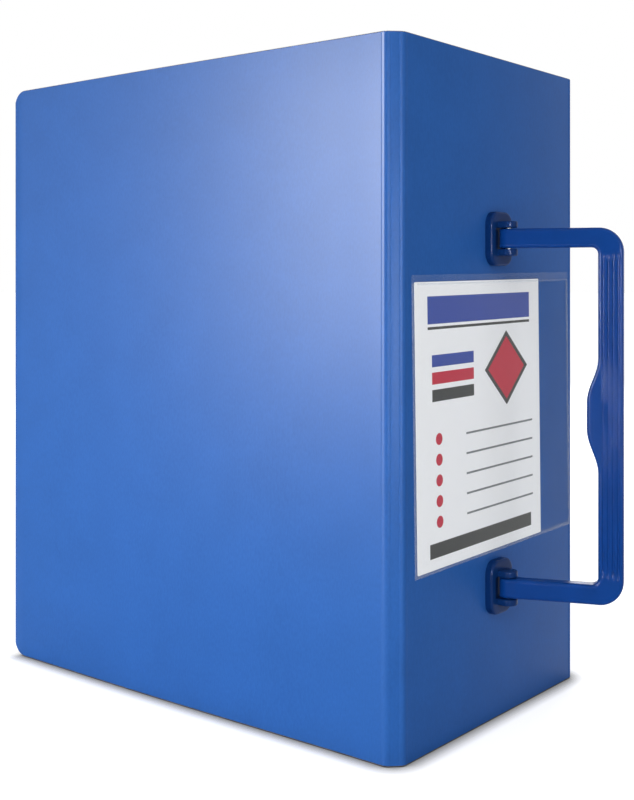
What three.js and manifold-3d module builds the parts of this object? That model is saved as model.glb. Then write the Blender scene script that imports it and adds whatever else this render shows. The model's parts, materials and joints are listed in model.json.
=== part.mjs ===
// A thick two-post archive binder that stands upright: front and back covers, a wide spine
// with a label pocket and a swinging carrying handle, and two locking fittings that hold a
// pair of steel posts between the covers. Millimetres, +Z up, spine towards +X, front cover
// towards -Y. The origin is the centre of the part's footprint.
import * as THREE from 'three';
import { mergeVertices } from 'three/addons/utils/BufferGeometryUtils.js';
import Module from 'manifold-3d';

const wasm = await Module();
wasm.setup();

// Case: five panels of laminated board, creased so that each cover turns on a hinge strip
const caseHeight = 307;
const coverWidth = 255;
const caseThickness = 160;
const boardThickness = 2;
const stripLeg = 5.7; // how far a hinge strip cuts each corner of the case
const coverCorner = 8;
const foldGap = 0.15; // from a fold line to each board edge beside it

// Label pocket of clear film, welded round three sides, and the card in it
const pocketFrontMargin = 6.5; // from the front crease of the spine
const pocketBackMargin = 2.5;
const pocketBracketGap = 3.5; // between the pocket and each bracket
const pocketTilt = THREE.MathUtils.degToRad(1.2);
const filmThickness = 0.2;
const weldWidth = 1.2;
const pocketLip = 1.8; // how far the front film stops below the back film
const cardWidth = 107;
const cardHeadroom = 3; // from the card's top to the pocket's mouth
const cardCorner = 0.6;
const cardThickness = 0.25;
const cardPlay = 0.05;

// Carrying handle: a flat bail on two vertical pins
const handleCentreZ = 142;
const legSpacing = 161;
const legWidth = 9;
const handleThickness = 8;
const gripInner = 40.7; // from the pins to the grip's inner side
const gripWidth = 11.2;
const handleCorner = 11;
const handleInnerCorner = 3;
const swellDepth = 5;
const swellHalfLength = 26;
const swellFlatHalf = 6;
const handleEdge = 1.2;
const handleSwing = THREE.MathUtils.degToRad(22); // how far it stands swung towards the back
const fluteCount = 4;
const flutePitch = 2.2;
const fluteRadius = 0.7;
const fluteDepth = 0.45;
const fluteEndGap = 12; // from the grip's outer corners to the flutes' ends

// Brackets that carry the handle, each with two pegs staked through the spine
const bracketWidth = 19;
const bracketLength = 25;
const bracketThickness = 3.5;
const bracketCorner = 6;
const bracketEdge = 0.8;
const pivotStandoff = 6.5; // from the spine's face to the pins' axis
const lugThickness = 3;
const lugRadius = 4.3;
const legClearance = 0.4; // between a leg and each lug
const recessFloor = 1.6;
const recessPlay = 1.4; // from the lugs' sides to the recess's sides
const pinRadius = 1.25;
const pinClearance = 0.15;
const pegRadius = 2;
const pegHeadRadius = 3;
const pegHeadHeight = 0.8;
const pegOffset = 8.6;
const pegClearance = 0.3;
const backingThickness = 1;
const backingWidth = 20;
const backingLength = 31;
const backingCorner = 3;

// Posts: steel tubes with a grooved stud in each end
const postInset = 26; // from the spine's outer face to the posts' axis
const postPitch = 80;
const postHeight = caseHeight / 2;
const tubeRadius = 3;
const tubeWall = 0.5;
const tubeEndGap = 0.3;
const studRadius = 2.2;
const studNeckRadius = 1.6;
const studTipRadius = 1;
const studDepth = 9.5; // how far a stud reaches into its tube
const studTaper = 1.3;
const studTipGap = 0.7; // from the stud's tip to the base plate

// Fittings: a base plate riveted to the cover, a pressed bridge, a lock slide and its lever
const plateThickness = 1.2;
const plateWidth = 28;
const plateTail = 12; // beyond the bridge's lower end and above the lever's rivet
const plateCorner = 4;
const bridgeHeight = 7; // outside, above the base plate
const bridgeGauge = 1;
const bridgeWidth = 14;
const bridgeFlange = 5;
const bridgeTail = 16; // beyond each post's axis
const bridgeBend = 1.6;
const postHoleRadius = 2.6;
const postHoleSlot = 2; // lets the stud swing out as the cover turns
const slideThickness = 1;
const slideLevel = 4.4; // from the cover's inner face to the slide's near face
const slideWidth = 10.4;
const slideTail = 14; // beyond the lower post's axis
const slideTravel = 8;
const keyholeRadius = 3.3;
const keyholeSlot = 0.7;
const neckClearance = 0.3;
const slideHeadGap = 2; // from the bridge's upper end
const slideHeadHeight = 15;
const slideHeadReach = 9.5; // towards the fore edge
const guideOffset = 18;
const guideRadius = 1.3;
const guideHeadRadius = 2.8;
const guideHeadHeight = 1.2;
const guideClearance = 0.3;
const leverGap = 16; // from the bridge's upper end to the lever's rivet
const leverThickness = 2.5;
const leverHubRadius = 8;
const leverReach = 44;
const leverArmWidth = 9;
const leverTipWidth = 7.5;
const leverTabHeight = 3.5;
const leverTabThickness = 2.4;
const leverRivetRadius = 1.8;
const leverRivetHead = 2.9;
const leverHeadDepth = 1; // of the sunk rivet head
const camPinRadius = 1.4;
const camClearance = 0.6; // the pin's arc leaves the slide's even travel by a little
const rivetRadius = 1.5;
const rivetHeadRadius = 3;
const rivetHeadHeight = 1.1;
const rivetSide = 10.5;
const rivetBelow = 6; // from the bridge's ends
const rivetAbove = 4;
const rivetBite = 1.2; // how deep a rivet's tail sits in the board
const clearance = 0.3;

const roundSides = 20;

// Places that follow from the sizes. Levels in a fitting are heights above the cover's
// inner face, and each board edge at a fold is mitred to half of the angle there
const halfFold = Math.PI / 8;
const bracketHeights = [handleCentreZ - legSpacing / 2, handleCentreZ + legSpacing / 2];
const spineRun = caseThickness - 2 * stripLeg;
const pocketWidth = spineRun - pocketFrontMargin - pocketBackMargin;
const pocketHeight = legSpacing - bracketLength - 2 * pocketBracketGap;
const pocketCentreY = (pocketFrontMargin - pocketBackMargin) / 2;
const bridgeHalfLength = postPitch / 2 + bridgeTail;
const slideHeadLow = bridgeHalfLength + slideHeadGap;
const leverHeight = bridgeHalfLength + leverGap;
const rivetPlaces = [-bridgeHalfLength - rivetBelow, bridgeHalfLength + rivetAbove]
  .flatMap((z) => [[-rivetSide, z], [rivetSide, z]]);
const bridgeTop = plateThickness + bridgeHeight;
const tubeEnd = bridgeTop + tubeEndGap;
const studTip = plateThickness + studTipGap;
const neckLow = slideLevel - clearance;
const neckHigh = slideLevel + slideThickness + clearance;
const leverLevel = plateThickness + clearance;
const camReach = slideTravel / Math.SQRT2;

// Materials
const laminate = new THREE.MeshStandardMaterial({ color: '#3f69b6', roughness: 0.42, metalness: 0 });
const moulding = new THREE.MeshStandardMaterial({ color: '#143c92', roughness: 0.28, metalness: 0 });
const steel = new THREE.MeshStandardMaterial({ color: '#b9bcc0', roughness: 0.3, metalness: 1 });
const leverPlastic = new THREE.MeshStandardMaterial({ color: '#1b3f8c', roughness: 0.4, metalness: 0 });
const film = new THREE.MeshStandardMaterial({
  color: '#dfe8f4', roughness: 0.12, metalness: 0, transparent: true, opacity: 0.25,
});
const cardStock = new THREE.MeshStandardMaterial({ color: '#eceef0', roughness: 0.7, metalness: 0 });

// Turns a closed geometry into a solid for cutting and joining.
function solidOf(geometry) {
  const bare = new THREE.BufferGeometry();
  bare.setAttribute('position', geometry.getAttribute('position'));
  bare.setIndex(geometry.index);
  const merged = mergeVertices(bare, 1e-4);
  return new wasm.Manifold(new wasm.Mesh({
    numProp: 3,
    vertProperties: merged.attributes.position.array,
    triVerts: new Uint32Array(merged.index.array),
  }));
}

// Gives a solid back as a geometry.
function geometryOf(solid) {
  const mesh = solid.getMesh();
  const geometry = new THREE.BufferGeometry();
  geometry.setAttribute('position', new THREE.BufferAttribute(Float32Array.from(mesh.vertProperties), 3));
  geometry.setIndex(new THREE.BufferAttribute(Uint32Array.from(mesh.triVerts), 1));
  geometry.computeVertexNormals();
  return geometry;
}

function part(name, shape, material) {
  const geometry = shape.isBufferGeometry ? shape : geometryOf(shape);
  const mesh = new THREE.Mesh(geometry, material);
  mesh.name = name;
  return mesh;
}

// Extrusion along Z of an outline in the XY plane, from z = 0.
function prism(outline, height) {
  return new THREE.ExtrudeGeometry(outline, { depth: height, bevelEnabled: false, curveSegments: 5 });
}

// A plate whose outline is drawn in x and z, with its thickness along y from 0.
function uprightPlate(outline, thickness) {
  return prism(outline, thickness).rotateX(Math.PI / 2).translate(0, thickness, 0);
}

// Turns a geometry drawn in x and y, thick along z, to lie in y and z, thick along x.
function facingX(geometry) {
  const turn = new THREE.Matrix4().makeBasis(
    new THREE.Vector3(0, 1, 0),
    new THREE.Vector3(0, 0, 1),
    new THREE.Vector3(1, 0, 0),
  );
  return geometry.applyMatrix4(turn);
}

function roundedRectangle(left, bottom, right, top, radius) {
  const shape = new THREE.Shape();
  shape.moveTo(left + radius, bottom);
  shape.lineTo(right - radius, bottom);
  shape.absarc(right - radius, bottom + radius, radius, -Math.PI / 2, 0, false);
  shape.lineTo(right, top - radius);
  shape.absarc(right - radius, top - radius, radius, 0, Math.PI / 2, false);
  shape.lineTo(left + radius, top);
  shape.absarc(left + radius, top - radius, radius, Math.PI / 2, Math.PI, false);
  shape.lineTo(left, bottom + radius);
  shape.absarc(left + radius, bottom + radius, radius, Math.PI, Math.PI * 1.5, false);
  return shape;
}

// A slot with round ends from one point to another, as a shape.
function slot(x1, y1, x2, y2, radius) {
  const along = Math.atan2(y2 - y1, x2 - x1);
  const shape = new THREE.Shape();
  shape.absarc(x2, y2, radius, along - Math.PI / 2, along + Math.PI / 2, false);
  shape.absarc(x1, y1, radius, along + Math.PI / 2, along + Math.PI * 1.5, false);
  return shape;
}

function circle(x, y, radius) {
  return slot(x, y, x, y, radius);
}

function polygon(points) {
  return new THREE.Shape(points.map(([x, y]) => new THREE.Vector2(x, y)));
}

// A turned piece on the Y axis, from profile points of radius and height.
function turned(profile, sides = roundSides) {
  return new THREE.LatheGeometry(profile.map(([r, h]) => new THREE.Vector2(r, h)), sides);
}

function upright(radius, low, high, sides = roundSides) {
  const height = high - low;
  return new THREE.CylinderGeometry(radius, radius, height, sides)
    .rotateX(Math.PI / 2)
    .translate(0, 0, (low + high) / 2);
}

// A round hole or pin along Y between two levels.
function across(radius, near, far, x, z, sides = roundSides) {
  return new THREE.CylinderGeometry(radius, radius, far - near, sides)
    .translate(x, (near + far) / 2, z);
}

// A board panel's section: its outer face runs from one fold or edge to the next, and each
// end that meets a fold is mitred. Points are in the panel's own run and depth.
function panelSection(run, startMitred, endMitred) {
  const inset = boardThickness * Math.tan(halfFold);
  const start = startMitred ? foldGap : 0;
  const end = endMitred ? run - foldGap : run;
  return [
    [start, 0],
    [end, 0],
    [endMitred ? end - inset : end, boardThickness],
    [startMitred ? start + inset : start, boardThickness],
  ];
}

function spinePanel() {
  const section = panelSection(spineRun, true, true)
    .map(([along, deep]) => [-deep, along - spineRun / 2]);
  let board = solidOf(prism(polygon(section), caseHeight));
  for (const height of bracketHeights) {
    for (const offset of [-pegOffset, pegOffset]) {
      const hole = facingX(upright(pegRadius + pegClearance, -boardThickness - 1, 1))
        .translate(0, 0, height + offset);
      board = board.subtract(solidOf(hole));
    }
  }
  return part('spine_panel', board, laminate);
}

function hingeStrip(name) {
  const run = stripLeg * Math.SQRT2;
  const mesh = part(name, prism(polygon(panelSection(run, true, true)), caseHeight), laminate);
  mesh.position.set(-stripLeg, -caseThickness / 2, 0);
  mesh.rotation.z = Math.PI / 4;
  return mesh;
}

function coverPanel(name) {
  const run = coverWidth - stripLeg;
  const section = panelSection(run, false, true).map(([along, deep]) => [along - coverWidth, deep]);
  const outline = roundedRectangle(-coverWidth, 0, coverCorner, caseHeight, coverCorner);
  let board = solidOf(prism(polygon(section), caseHeight))
    .intersect(solidOf(uprightPlate(outline, boardThickness)));
  for (const [x, z] of rivetPlaces) {
    const hole = across(
      rivetRadius + clearance,
      boardThickness - rivetBite - clearance,
      boardThickness + 1,
      x - postInset,
      z + postHeight,
    );
    board = board.subtract(solidOf(hole));
  }
  const mesh = part(name, board, laminate);
  mesh.position.y = -caseThickness / 2;
  return mesh;
}

// The pocket: a back film on the spine, a front film, and a weld round three sides
function labelPocket() {
  const depth = 2 * filmThickness + cardThickness + 2 * cardPlay;
  const halfWidth = pocketWidth / 2;
  const halfHeight = pocketHeight / 2;
  const body = roundedRectangle(-halfWidth, -halfHeight, halfWidth, halfHeight, 1);
  const inside = polygon([
    [-halfWidth + weldWidth, -halfHeight + weldWidth],
    [halfWidth - weldWidth, -halfHeight + weldWidth],
    [halfWidth - weldWidth, halfHeight + 1],
    [-halfWidth + weldWidth, halfHeight + 1],
  ]);
  const lip = polygon([
    [-halfWidth + weldWidth, halfHeight - pocketLip],
    [halfWidth - weldWidth, halfHeight - pocketLip],
    [halfWidth - weldWidth, halfHeight + 1],
    [-halfWidth + weldWidth, halfHeight + 1],
  ]);
  const space = facingX(prism(inside, depth - 2 * filmThickness)).translate(filmThickness, 0, 0);
  const mouth = facingX(prism(lip, depth)).translate(filmThickness, 0, 0);
  const pocket = solidOf(facingX(prism(body, depth)))
    .subtract(solidOf(space))
    .subtract(solidOf(mouth));
  return part('label_pocket', pocket, film);
}

function labelCard() {
  const left = -pocketWidth / 2 + weldWidth + clearance;
  const bottom = -pocketHeight / 2 + weldWidth + clearance;
  const top = pocketHeight / 2 - cardHeadroom;
  const card = roundedRectangle(left, bottom, left + cardWidth, top, cardCorner);
  const mesh = part('label_card', facingX(prism(card, cardThickness)), cardStock);
  mesh.position.x = filmThickness + cardPlay;
  return mesh;
}

function labelGroup() {
  const group = new THREE.Group();
  group.add(labelPocket(), labelCard());
  group.position.set(0, pocketCentreY, handleCentreZ);
  group.rotation.x = pocketTilt;
  return group;
}

// A bracket: a rounded plate with a recess behind the pin, two lugs that hold the pin, and
// two staked pegs
function bracket(name) {
  const half = bracketLength / 2;
  const outline = roundedRectangle(-bracketWidth / 2, -half, bracketWidth / 2, half, bracketCorner);
  const plate = new THREE.ExtrudeGeometry(outline, {
    depth: bracketThickness - bracketEdge,
    bevelThickness: bracketEdge,
    bevelSize: bracketEdge,
    bevelOffset: -bracketEdge,
    bevelSegments: 3,
    curveSegments: 3,
  });
  const face = polygon([
    [-bracketWidth, -bracketLength],
    [bracketWidth, -bracketLength],
    [bracketWidth, bracketLength],
    [-bracketWidth, bracketLength],
  ]);
  const slab = facingX(prism(face, bracketThickness));
  let solid = solidOf(facingX(plate)).intersect(solidOf(slab));
  const lugInner = legWidth / 2 + legClearance;
  for (const side of [-1, 1]) {
    const lug = new THREE.Shape();
    lug.moveTo(0, -lugRadius);
    lug.lineTo(pivotStandoff, -lugRadius);
    lug.absarc(pivotStandoff, 0, lugRadius, -Math.PI / 2, Math.PI / 2, false);
    lug.lineTo(0, lugRadius);
    const low = side > 0 ? lugInner : -lugInner - lugThickness;
    solid = solid.add(solidOf(prism(lug, lugThickness).translate(0, 0, low)));
    const shank = boardThickness + backingThickness;
    const profile = [
      [0, -shank - pegHeadHeight],
      [pegHeadRadius * 0.75, -shank - pegHeadHeight],
      [pegHeadRadius, -shank - pegHeadHeight / 2],
      [pegHeadRadius, -shank],
      [pegRadius, -shank],
      [pegRadius, 1],
      [0, 1],
    ];
    const pegSolid = turned(profile).rotateZ(-Math.PI / 2).translate(0, 0, side * pegOffset);
    solid = solid.add(solidOf(pegSolid));
  }
  const recess = new THREE.BoxGeometry(bracketThickness, 2 * (lugRadius + recessPlay), 2 * lugInner)
    .translate(recessFloor + bracketThickness / 2, 0, 0);
  const pinHole = upright(pinRadius + pinClearance, -half, half).translate(pivotStandoff, 0, 0);
  return part(name, solid.subtract(solidOf(recess)).subtract(solidOf(pinHole)), moulding);
}

function backingPlate(name) {
  const outline = roundedRectangle(
    -backingWidth / 2, -backingLength / 2, backingWidth / 2, backingLength / 2, backingCorner,
  );
  for (const offset of [-pegOffset, pegOffset]) {
    outline.holes.push(circle(0, offset, pegRadius + pegClearance));
  }
  const mesh = part(name, facingX(prism(outline, backingThickness)), steel);
  mesh.position.x = -boardThickness - backingThickness;
  return mesh;
}

function pivotPin(name) {
  const half = legWidth / 2 + legClearance + lugThickness;
  return part(name, upright(pinRadius, -half, half).translate(pivotStandoff, 0, 0), steel);
}

// The handle's outline in its own plane: x runs out from the pins, y is up
function handleOutline() {
  const outerHalf = (legSpacing + legWidth) / 2;
  const innerHalf = (legSpacing - legWidth) / 2;
  const gripOuter = gripInner + gripWidth;
  const legStart = handleThickness / 4;
  const swell = gripInner - swellDepth;
  const ease = (swellHalfLength - swellFlatHalf) * 0.45;
  const shape = new THREE.Shape();
  shape.moveTo(legStart, -outerHalf);
  shape.lineTo(gripOuter - handleCorner, -outerHalf);
  shape.absarc(gripOuter - handleCorner, handleCorner - outerHalf, handleCorner, -Math.PI / 2, 0, false);
  shape.lineTo(gripOuter, outerHalf - handleCorner);
  shape.absarc(gripOuter - handleCorner, outerHalf - handleCorner, handleCorner, 0, Math.PI / 2, false);
  shape.lineTo(legStart, outerHalf);
  shape.lineTo(legStart, innerHalf);
  shape.lineTo(gripInner - handleInnerCorner, innerHalf);
  shape.absarc(
    gripInner - handleInnerCorner, innerHalf - handleInnerCorner, handleInnerCorner, Math.PI / 2, 0, true,
  );
  shape.lineTo(gripInner, swellHalfLength);
  shape.bezierCurveTo(
    gripInner, swellHalfLength - ease, swell, swellFlatHalf + ease, swell, swellFlatHalf,
  );
  shape.lineTo(swell, -swellFlatHalf);
  shape.bezierCurveTo(
    swell, -swellFlatHalf - ease, gripInner, ease - swellHalfLength, gripInner, -swellHalfLength,
  );
  shape.lineTo(gripInner, handleInnerCorner - innerHalf);
  shape.absarc(
    gripInner - handleInnerCorner, handleInnerCorner - innerHalf, handleInnerCorner, 0, -Math.PI / 2, true,
  );
  shape.lineTo(legStart, -innerHalf);
  return shape;
}

function handle() {
  const body = new THREE.ExtrudeGeometry(handleOutline(), {
    depth: handleThickness - 2 * handleEdge,
    bevelThickness: handleEdge,
    bevelSize: handleEdge,
    bevelOffset: -handleEdge,
    bevelSegments: 3,
    curveSegments: 6,
  }).rotateX(Math.PI / 2).translate(0, handleThickness / 2 - handleEdge, 0);
  let solid = solidOf(body);
  for (const side of [-1, 1]) {
    const height = side * legSpacing / 2;
    solid = solid.add(solidOf(upright(handleThickness / 2, height - legWidth / 2, height + legWidth / 2)));
  }
  const fluteHalf = legSpacing / 2 + legWidth / 2 - fluteEndGap;
  const firstFlute = gripInner + (gripWidth - (fluteCount - 1) * flutePitch) / 2;
  for (let i = 0; i < fluteCount; i += 1) {
    for (const side of [-1, 1]) {
      const centre = side * (handleThickness / 2 + fluteRadius - fluteDepth);
      const flute = upright(fluteRadius, -fluteHalf, fluteHalf, 10)
        .translate(firstFlute + i * flutePitch, centre, 0);
      solid = solid.subtract(solidOf(flute));
    }
  }
  const reach = legSpacing / 2 + legWidth;
  solid = solid.subtract(solidOf(upright(pinRadius + pinClearance, -reach, reach)));
  const mesh = part('handle', solid, moulding);
  mesh.position.set(pivotStandoff, 0, handleCentreZ);
  mesh.rotation.z = handleSwing;
  return mesh;
}

function spineHardware() {
  const group = new THREE.Group();
  bracketHeights.forEach((height, i) => {
    const end = i === 0 ? 'lower' : 'upper';
    for (const piece of [
      bracket(`${end}_bracket`), backingPlate(`${end}_backing_plate`), pivotPin(`${end}_handle_pin`),
    ]) {
      piece.position.z = height;
      group.add(piece);
    }
  });
  group.add(handle());
  return group;
}

function basePlate(name) {
  const half = plateWidth / 2;
  const low = -bridgeHalfLength - plateTail;
  const outline = roundedRectangle(-half, low, half, leverHeight + plateTail, plateCorner);
  const holes = [
    ...rivetPlaces.map(([x, z]) => [x, z, rivetRadius + clearance]),
    [0, -guideOffset, guideRadius + clearance],
    [0, guideOffset, guideRadius + clearance],
    [0, leverHeight, leverRivetRadius + clearance],
  ];
  outline.holes.push(...holes.map(([x, z, radius]) => circle(x, z, radius)));
  return part(name, uprightPlate(outline, plateThickness), steel);
}

// The bridge's section: flanges, bent walls and a flat top, all of one gauge
function bridgeSection() {
  const half = bridgeWidth / 2;
  const outerBend = bridgeBend;
  const innerBend = bridgeBend - bridgeGauge;
  const wing = half + bridgeFlange;
  const top = bridgeHeight;
  const shape = new THREE.Shape();
  shape.moveTo(-wing, 0);
  shape.lineTo(-half - innerBend + bridgeGauge, 0);
  shape.lineTo(-half + bridgeGauge, innerBend);
  shape.lineTo(-half + bridgeGauge, top - outerBend);
  shape.absarc(-half + outerBend, top - outerBend, innerBend, Math.PI, Math.PI / 2, true);
  shape.absarc(half - outerBend, top - outerBend, innerBend, Math.PI / 2, 0, true);
  shape.lineTo(half - bridgeGauge, innerBend);
  shape.lineTo(half + innerBend - bridgeGauge, 0);
  shape.lineTo(wing, 0);
  shape.lineTo(wing, bridgeGauge);
  shape.absarc(half + outerBend, outerBend + bridgeGauge, outerBend, Math.PI * 1.5, Math.PI, true);
  shape.absarc(half - outerBend, top - outerBend, outerBend, 0, Math.PI / 2, false);
  shape.absarc(-half + outerBend, top - outerBend, outerBend, Math.PI / 2, Math.PI, false);
  shape.absarc(-half - outerBend, outerBend + bridgeGauge, outerBend, 0, -Math.PI / 2, true);
  shape.lineTo(-wing, bridgeGauge);
  return shape;
}

function bridge(name) {
  const body = prism(bridgeSection(), 2 * bridgeHalfLength).translate(0, plateThickness, -bridgeHalfLength);
  let solid = solidOf(body);
  for (const z of [-postPitch / 2, postPitch / 2]) {
    const hole = uprightPlate(slot(0, z, postHoleSlot, z, postHoleRadius), bridgeTop)
      .translate(0, bridgeTop / 2, 0);
    solid = solid.subtract(solidOf(hole));
  }
  return part(name, solid, steel);
}

function lockSlide(name) {
  const half = slideWidth / 2;
  const camSlotHalf = camPinRadius + camClearance / 2;
  const camX = -slideTravel / 2;
  const camZ = leverHeight - slideTravel / 2;
  const tail = -postPitch / 2 - slideTail;
  const head = slideHeadLow + slideHeadHeight;
  const outline = polygon([
    [-half, tail],
    [half, tail],
    [half, head],
    [-slideHeadReach, head],
    [-slideHeadReach, slideHeadLow],
    [-half, slideHeadLow],
  ]);
  let solid = solidOf(uprightPlate(outline, slideThickness));
  const cuts = [slot(-camReach - camClearance, camZ, camX + camClearance, camZ, camSlotHalf)];
  for (const z of [-guideOffset, guideOffset]) {
    cuts.push(slot(0, z - slideTravel, 0, z, guideRadius + guideClearance));
  }
  for (const z of [-postPitch / 2, postPitch / 2]) {
    cuts.push(slot(0, z, keyholeSlot, z, keyholeRadius));
    cuts.push(slot(0, z - slideTravel, 0, z, studNeckRadius + neckClearance));
  }
  for (const cut of cuts) {
    solid = solid.subtract(solidOf(uprightPlate(cut, 3 * slideThickness).translate(0, -slideThickness, 0)));
  }
  const mesh = part(name, solid, steel);
  mesh.position.y = slideLevel;
  return mesh;
}

// The lever at its open position: its arm points to the fore edge, and its cam pin stands
// below and beside the rivet, so a quarter turn lifts the slide by its travel
function lever(name) {
  const arm = new THREE.Shape();
  const neck = leverArmWidth / 2;
  const tip = leverTipWidth / 2;
  const start = Math.asin(neck / leverHubRadius);
  arm.absarc(0, 0, leverHubRadius, Math.PI + start, Math.PI * 3 - start, false);
  arm.lineTo(-leverReach + tip, tip);
  arm.absarc(-leverReach + tip, 0, tip, Math.PI / 2, Math.PI * 1.5, false);
  const body = solidOf(uprightPlate(arm, leverThickness));
  const tabX = -leverReach + tip + leverTabThickness;
  const tab = roundedRectangle(
    tabX - leverTabThickness / 2, -tip + 0.6, tabX + leverTabThickness / 2, tip - 0.6, 0.8,
  );
  const camPin = across(camPinRadius, leverThickness / 2,
    slideLevel + slideThickness + clearance * 2 - leverLevel, -slideTravel / 2, -slideTravel / 2);
  const hole = across(leverRivetRadius + clearance, -1, leverThickness + 1, 0, 0);
  const sink = across(leverRivetHead + clearance, leverThickness - leverHeadDepth,
    leverThickness + 1, 0, 0);
  const solid = body
    .add(solidOf(uprightPlate(tab, leverThickness + leverTabHeight)))
    .add(solidOf(camPin))
    .subtract(solidOf(hole))
    .subtract(solidOf(sink));
  const mesh = part(name, solid, leverPlastic);
  mesh.position.set(0, leverLevel, leverHeight);
  return mesh;
}

function leverRivet(name) {
  const headLow = leverLevel + leverThickness - leverHeadDepth + clearance / 3;
  const headHigh = leverLevel + leverThickness;
  const mesh = part(name, turned([
    [0, 0],
    [leverRivetRadius, 0],
    [leverRivetRadius, headLow],
    [leverRivetHead, headLow],
    [leverRivetHead, headHigh],
    [0, headHigh],
  ]), steel);
  mesh.position.z = leverHeight;
  return mesh;
}

// A shoulder rivet that carries the slide between its collar and its head
function guideRivet(name, z) {
  const collar = slideLevel - clearance;
  const head = slideLevel + slideThickness + clearance;
  const mesh = part(name, turned([
    [0, 0],
    [guideRadius, 0],
    [guideRadius, plateThickness],
    [guideHeadRadius, plateThickness],
    [guideHeadRadius, collar],
    [guideRadius, collar],
    [guideRadius, head],
    [guideHeadRadius, head],
    [guideHeadRadius, head + guideHeadHeight / 2],
    [guideHeadRadius * 0.6, head + guideHeadHeight],
    [0, head + guideHeadHeight],
  ]), steel);
  mesh.position.z = z;
  return mesh;
}

function mountingRivet(name, x, z) {
  const mesh = part(name, turned([
    [0, -rivetBite],
    [rivetRadius, -rivetBite],
    [rivetRadius, plateThickness],
    [rivetHeadRadius, plateThickness],
    [rivetHeadRadius * 0.92, plateThickness + rivetHeadHeight * 0.5],
    [rivetHeadRadius * 0.6, plateThickness + rivetHeadHeight * 0.9],
    [0, plateThickness + rivetHeadHeight],
  ]), steel);
  mesh.position.set(x, 0, z);
  return mesh;
}

function fitting(side) {
  const group = new THREE.Group();
  group.add(
    basePlate(`${side}_base_plate`),
    bridge(`${side}_bridge`),
    lockSlide(`${side}_lock_slide`),
    lever(`${side}_lever`),
    leverRivet(`${side}_lever_rivet`),
    guideRivet(`${side}_lower_guide_rivet`, -guideOffset),
    guideRivet(`${side}_upper_guide_rivet`, guideOffset),
  );
  rivetPlaces.forEach(([x, z], i) => {
    group.add(mountingRivet(`${side}_mounting_rivet_${i + 1}`, x, z));
  });
  group.position.set(-postInset, boardThickness - caseThickness / 2, postHeight);
  return group;
}

// One side of the case. The back is the front's mirror image.
function caseSide(side) {
  const group = new THREE.Group();
  group.add(coverPanel(`${side}_cover`), hingeStrip(`${side}_hinge_strip`), fitting(side));
  group.scale.y = side === 'back' ? -1 : 1;
  return group;
}

function post(end, z) {
  const group = new THREE.Group();
  const halfLength = caseThickness / 2 - boardThickness - tubeEnd;
  const bore = tubeRadius - tubeWall;
  const tube = turned([
    [bore, -halfLength],
    [tubeRadius, -halfLength],
    [tubeRadius, halfLength],
    [bore, halfLength],
    [bore, -halfLength],
  ]);
  group.add(part(`${end}_post_tube`, tube, steel));
  const profile = [
    [0, studTip],
    [studTipRadius, studTip],
    [studRadius, studTip + studTaper],
    [studRadius, neckLow],
    [studNeckRadius, neckLow],
    [studNeckRadius, neckHigh],
    [studRadius, neckHigh],
    [studRadius, tubeEnd + studDepth],
    [0, tubeEnd + studDepth],
  ];
  for (const side of ['front', 'back']) {
    const stud = part(`${end}_post_${side}_stud`, turned(profile), steel);
    stud.position.y = boardThickness - caseThickness / 2;
    if (side === 'back') {
      stud.position.y *= -1;
      stud.rotation.x = Math.PI;
    }
    group.add(stud);
  }
  group.position.set(-postInset, 0, z);
  return group;
}

const binder = new THREE.Group();
binder.add(
  spinePanel(),
  labelGroup(),
  spineHardware(),
  caseSide('front'),
  caseSide('back'),
  post('lower', postHeight - postPitch / 2),
  post('upper', postHeight + postPitch / 2),
);

// The origin sits midway between the fore edge and the handle's outermost point
const extent = new THREE.Box3().setFromObject(binder, true);
binder.position.x = -(extent.min.x + extent.max.x) / 2;

export default binder;
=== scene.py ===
"""An upright two-post archive binder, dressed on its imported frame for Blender 4.5.

Lengths in the dataclasses are millimetres, in the frame's axes: +X out of the spine, -Y out
of the front cover and +Z up. Meshes are built in metres, and every object is at the origin.
"""

import json
import logging
import math
from dataclasses import dataclass, field
from enum import Enum
from typing import Iterable

import bmesh
import bpy
import numpy as np
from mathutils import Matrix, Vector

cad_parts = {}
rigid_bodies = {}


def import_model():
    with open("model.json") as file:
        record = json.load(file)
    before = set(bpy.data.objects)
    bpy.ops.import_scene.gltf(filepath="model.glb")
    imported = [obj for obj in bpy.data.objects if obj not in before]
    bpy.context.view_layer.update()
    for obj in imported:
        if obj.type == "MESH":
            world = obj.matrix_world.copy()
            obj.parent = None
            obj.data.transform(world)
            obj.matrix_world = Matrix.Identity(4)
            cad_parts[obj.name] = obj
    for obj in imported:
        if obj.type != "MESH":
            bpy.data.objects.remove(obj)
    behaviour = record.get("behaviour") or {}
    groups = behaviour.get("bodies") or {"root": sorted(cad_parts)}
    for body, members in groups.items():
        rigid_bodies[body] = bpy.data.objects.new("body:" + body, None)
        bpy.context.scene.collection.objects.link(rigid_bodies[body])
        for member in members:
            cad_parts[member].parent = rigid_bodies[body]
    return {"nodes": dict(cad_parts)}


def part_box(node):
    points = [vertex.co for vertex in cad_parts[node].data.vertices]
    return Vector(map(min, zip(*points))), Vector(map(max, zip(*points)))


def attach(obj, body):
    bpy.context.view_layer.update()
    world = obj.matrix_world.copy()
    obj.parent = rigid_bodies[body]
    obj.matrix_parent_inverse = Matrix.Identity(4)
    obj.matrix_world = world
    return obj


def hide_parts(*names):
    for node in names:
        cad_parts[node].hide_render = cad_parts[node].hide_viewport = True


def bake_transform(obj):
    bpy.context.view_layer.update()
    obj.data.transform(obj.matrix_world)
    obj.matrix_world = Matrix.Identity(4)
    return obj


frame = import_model()
log = logging.getLogger("binder")

MM = 0.001
UP = np.array([0.0, 0.0, 1.0])
QUARTER = math.pi / 2
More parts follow.
